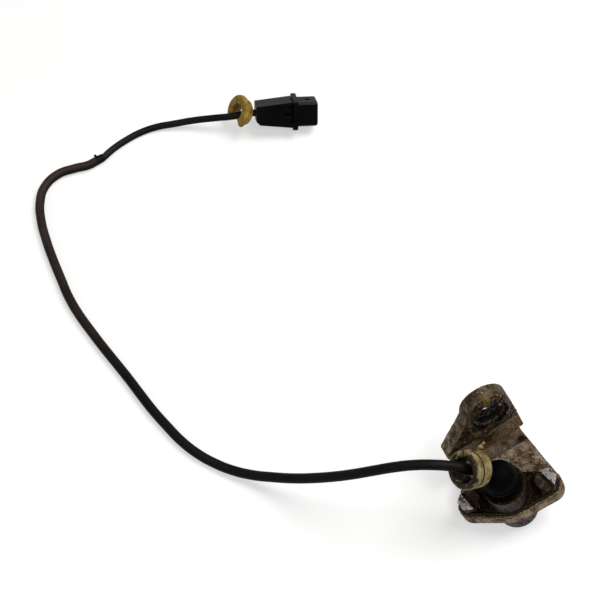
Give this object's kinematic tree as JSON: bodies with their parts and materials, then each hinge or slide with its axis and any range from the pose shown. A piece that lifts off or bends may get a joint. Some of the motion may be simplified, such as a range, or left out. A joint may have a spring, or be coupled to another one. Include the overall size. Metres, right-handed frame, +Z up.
{
  "type": "crankshaft position sensor",
  "caption": "Crankshaft position sensor bolted to a cast bracket with an upright holed arm, with a bent rubber boot, loose rubber grommets, a sheathed lead and a square plug-in connector.",
  "frame": {"origin": "bottom centre of the box round the bracket and the sensor without the lead, on the table", "axes": "+Z up from the table, +X to the right and +Y away from the viewer, as the sensor lies in the picture"},
  "size_m": [0.2617, 0.2532, 0.0615],
  "materials": {
    "cast_alloy": "as-cast alloy, worn and oily",
    "sensor_plastic": "moulded plastic with dried oil",
    "bush_steel": "plain turned steel",
    "screw_steel": "plated steel, worn bright and dirty",
    "pole_steel": "ground soft iron",
    "bobbin_plastic": "moulded plastic",
    "copper_wire": "enamelled copper wire",
    "magnet_iron": "sintered magnet",
    "terminal_brass": "stamped brass",
    "potting_resin": "cast resin",
    "boot_rubber": "moulded rubber",
    "cream_rubber": "aged cream rubber, dirty",
    "sheath_rubber": "smooth cable sheath",
    "tie_plastic": "shrunk band",
    "lead_rubber": "smooth lead sheath",
    "mustard_rubber": "aged mustard rubber",
    "seal_rubber": "moulded rubber",
    "connector_plastic": "moulded plastic, satin",
    "carrier_plastic": "moulded plastic",
    "contact_brass": "turned brass"
  },
  "bodies": {
    "root": {"mounting_bracket": "cast_alloy", "sensor_housing": "sensor_plastic", "flange_bushes": "bush_steel", "flange_screws": "screw_steel", "pole_pin": "pole_steel", "coil_bobbin": "bobbin_plastic", "coil_winding": "copper_wire", "magnet": "magnet_iron", "coil_terminals": "terminal_brass", "potting_plug": "potting_resin", "cable_boot": "boot_rubber", "sensor_grommet": "cream_rubber", "sensor_cable": "sheath_rubber", "sleeve_tie": "tie_plastic", "lead_cable": "lead_rubber", "lead_grommet": "mustard_rubber", "rear_seal": "seal_rubber", "connector_rear": "connector_plastic", "connector_shell": "connector_plastic", "contact_carrier": "carrier_plastic", "contact_pins": "contact_brass"}
  },
  "joints": []
}
